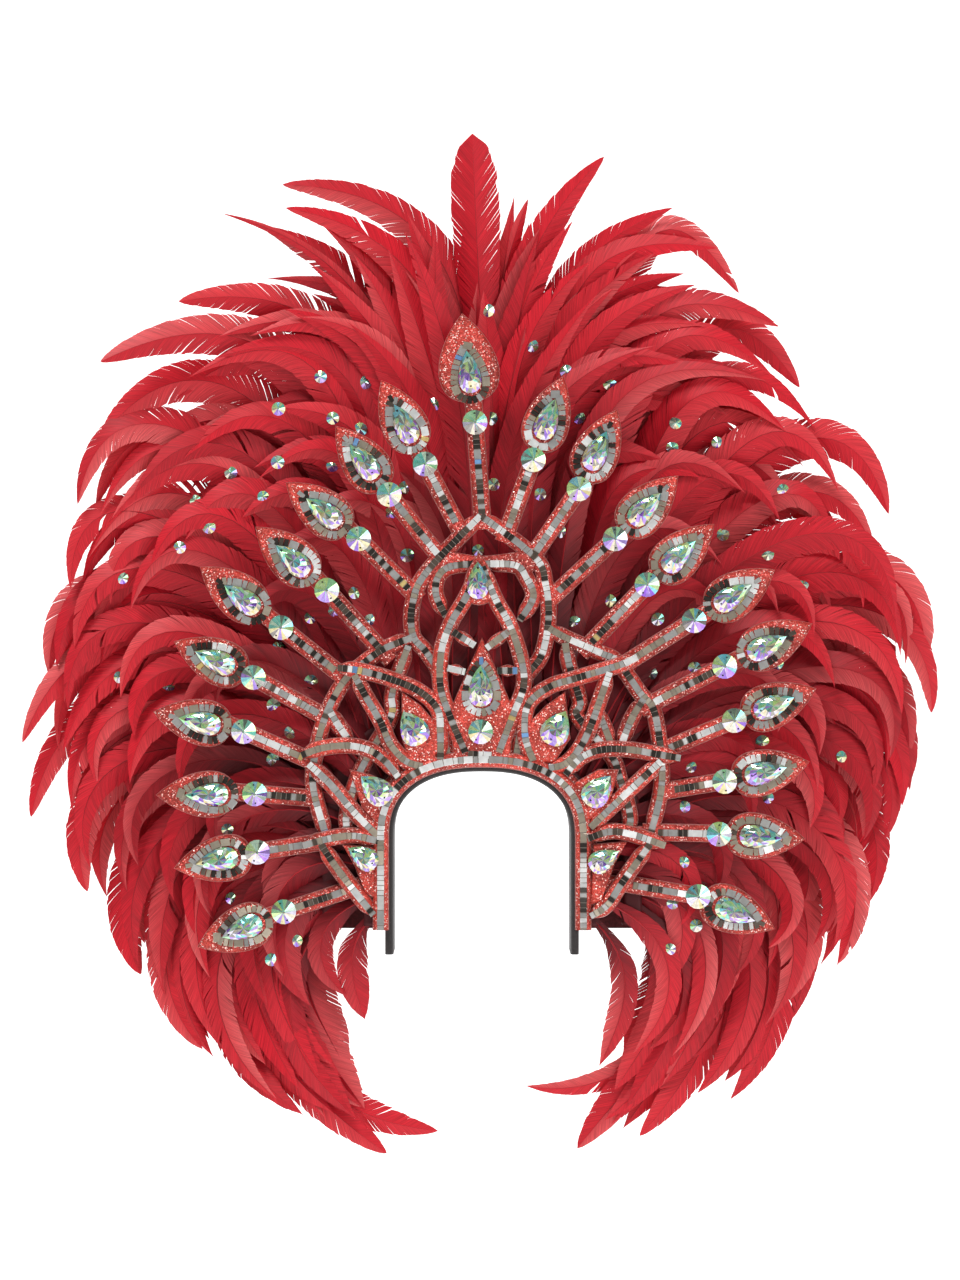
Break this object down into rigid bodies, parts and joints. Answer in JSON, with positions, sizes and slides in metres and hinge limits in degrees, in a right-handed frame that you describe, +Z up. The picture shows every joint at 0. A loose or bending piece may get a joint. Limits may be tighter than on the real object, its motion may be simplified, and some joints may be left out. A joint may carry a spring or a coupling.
{
  "type": "feather headdress",
  "caption": "Carnival headdress: padded arch for the head, openwork glitter sheets with mirror strips and crystals, and a round fan of curved feathers behind.",
  "frame": {"origin": "inner apex of the padded arch, where it rests on top of the head, in the plane of the rear sheet's back", "axes": "-Y is the way the wearer faces, +Z is up, +X is to the right seen from the front"},
  "size_m": [0.6636, 0.0819, 0.7415],
  "materials": {
    "padding": "matt black padded cloth",
    "glitter_rear": "dull red glitter foam with mirror strips",
    "glitter_front": "coral red glitter foam with mirror strips",
    "crystal": "foiled cut crystal with a rainbow coat",
    "felt": "dark red felt over board",
    "feathers": "dyed red cock feathers"
  },
  "bodies": {
    "root": {"head_arch": "padding", "halo_plate": "glitter_rear", "lotus_plate": "glitter_front", "backing": "felt", "ray_stone_01": "crystal", "ray_stone_02": "crystal", "ray_stone_03": "crystal", "ray_stone_04": "crystal", "ray_stone_05": "crystal", "ray_stone_06": "crystal", "ray_stone_07": "crystal", "ray_stone_08": "crystal", "ray_stone_09": "crystal", "ray_stone_10": "crystal", "ray_stone_11": "crystal", "ray_stone_12": "crystal", "ray_stone_13": "crystal", "ray_stone_14": "crystal", "ray_stone_15": "crystal", "ray_stone_16": "crystal", "ray_stone_17": "crystal", "ray_stone_18": "crystal", "ray_stone_19": "crystal", "ray_stone_20": "crystal", "ray_stone_21": "crystal", "crown_stone_01": "crystal", "crown_stone_02": "crystal", "crown_stone_03": "crystal", "crown_stone_04": "crystal", "crown_stone_05": "crystal", "crown_stone_06": "crystal", "crown_stone_07": "crystal", "crown_stone_08": "crystal", "crown_stone_09": "crystal", "plume_row_1_left_low": "feathers", "plume_row_1_left_high": "feathers", "plume_row_1_top": "feathers", "plume_row_1_right_high": "feathers", "plume_row_1_right_low": "feathers", "plume_row_2_left_low": "feathers", "plume_row_2_left_high": "feathers", "plume_row_2_top": "feathers", "plume_row_2_right_high": "feathers", "plume_row_2_right_low": "feathers", "plume_row_3_left_low": "feathers", "plume_row_3_left_high": "feathers", "plume_row_3_top": "feathers", "plume_row_3_right_high": "feathers", "plume_row_3_right_low": "feathers", "plume_row_4_left_low": "feathers", "plume_row_4_left_high": "feathers", "plume_row_4_top": "feathers", "plume_row_4_right_high": "feathers", "plume_row_4_right_low": "feathers", "plume_row_5_left_low": "feathers", "plume_row_5_left_high": "feathers", "plume_row_5_top": "feathers", "plume_row_5_right_high": "feathers", "plume_row_5_right_low": "feathers"}
  },
  "joints": []
}
